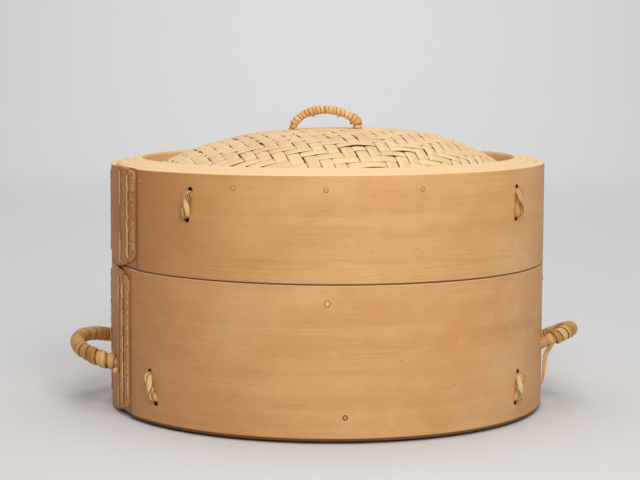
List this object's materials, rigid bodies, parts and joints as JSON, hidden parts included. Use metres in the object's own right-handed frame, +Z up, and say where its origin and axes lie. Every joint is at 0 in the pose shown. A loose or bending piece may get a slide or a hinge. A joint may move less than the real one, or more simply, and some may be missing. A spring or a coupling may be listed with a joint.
{
  "type": "wooden steamer basket",
  "caption": "Round bent-board wooden steamer: basket with wound rattan side handles, lid with a woven bamboo dome and arched handle, and a loose slatted grate.",
  "frame": {"origin": "centre of the base plane, on the axis of both rings, where the steamer stands", "axes": "+Z up along the axis of the rings, +X towards the right side handle, -Y towards the front in the picture"},
  "size_m": [0.4294, 0.3606, 0.2488],
  "materials": {
    "basket_board": "unvarnished bent cypress board, warm tan, satin from use",
    "lid_board": "unvarnished bent cypress board, warm tan, pale top edge",
    "hoop_wood": "unvarnished bent wooden hoop",
    "bamboo_bar": "split bamboo, matt inside, satin skin",
    "bamboo_weave": "woven flat bamboo strips, pale straw",
    "grate_bamboo": "flat bamboo slats, matt",
    "bamboo_peg": "bamboo pegs with dark end grain",
    "cane_tie": "twisted cane tie, satin",
    "cane_strip": "flat cane strip, satin",
    "cane_wrap": "flat cane winding, satin",
    "rattan_core": "bare rattan pole, matt"
  },
  "bodies": {
    "basket": {"basket_wall": "basket_board", "collar_hoop": "hoop_wood", "base_hoop": "hoop_wood", "support_bar_front": "bamboo_bar", "support_bar_back": "bamboo_bar", "basket_tie_front_left": "cane_tie", "basket_tie_front_right": "cane_tie", "basket_tie_back_right": "cane_tie", "basket_tie_back_left": "cane_tie", "basket_stitch_outer": "cane_strip", "basket_stitch_middle": "cane_strip", "basket_stitch_inner": "cane_strip", "collar_peg_1": "bamboo_peg", "collar_peg_2": "bamboo_peg", "collar_peg_3": "bamboo_peg", "base_hoop_peg_1": "bamboo_peg", "base_hoop_peg_2": "bamboo_peg", "base_hoop_peg_3": "bamboo_peg", "left_handle_core": "rattan_core", "left_handle_wrap": "cane_wrap", "right_handle_core": "rattan_core", "right_handle_wrap": "cane_wrap", "left_handle_stay": "cane_strip", "right_handle_stay": "cane_strip"},
    "lid": {"lid_wall": "lid_board", "lid_liner": "hoop_wood", "middle_hoop": "hoop_wood", "mat_clamp_hoop": "hoop_wood", "mat_rest_hoop": "hoop_wood", "woven_dome": "bamboo_weave", "dome_rib_1": "bamboo_bar", "dome_rib_2": "bamboo_bar", "handle_crossbar": "bamboo_bar", "rib_lashing": "cane_strip", "lid_tie_front_left": "cane_tie", "lid_tie_front_right": "cane_tie", "lid_tie_back_right": "cane_tie", "lid_tie_back_left": "cane_tie", "lid_stitch_outer": "cane_strip", "lid_stitch_middle": "cane_strip", "lid_stitch_inner": "cane_strip", "lid_peg_1": "bamboo_peg", "lid_peg_2": "bamboo_peg", "lid_peg_3": "bamboo_peg", "lid_peg_4": "bamboo_peg", "lid_peg_5": "bamboo_peg", "lid_peg_6": "bamboo_peg", "top_handle_core": "rattan_core", "top_handle_wrap": "cane_wrap"},
    "grate": {"grate_slat_1": "grate_bamboo", "grate_slat_2": "grate_bamboo", "grate_slat_3": "grate_bamboo", "grate_slat_4": "grate_bamboo", "grate_slat_5": "grate_bamboo", "grate_slat_6": "grate_bamboo", "grate_slat_7": "grate_bamboo", "grate_slat_8": "grate_bamboo", "grate_slat_9": "grate_bamboo", "grate_batten_front": "grate_bamboo", "grate_batten_back": "grate_bamboo"}
  },
  "joints": [
    {"name": "lid_lift", "type": "slide", "parent": "basket", "child": "lid", "axis": [0, 0, 1], "range_m": [0, 0.16]},
    {"name": "grate_lift", "type": "slide", "parent": "basket", "child": "grate", "axis": [0, 0, 1], "range_m": [0, 0.08]}
  ]
}
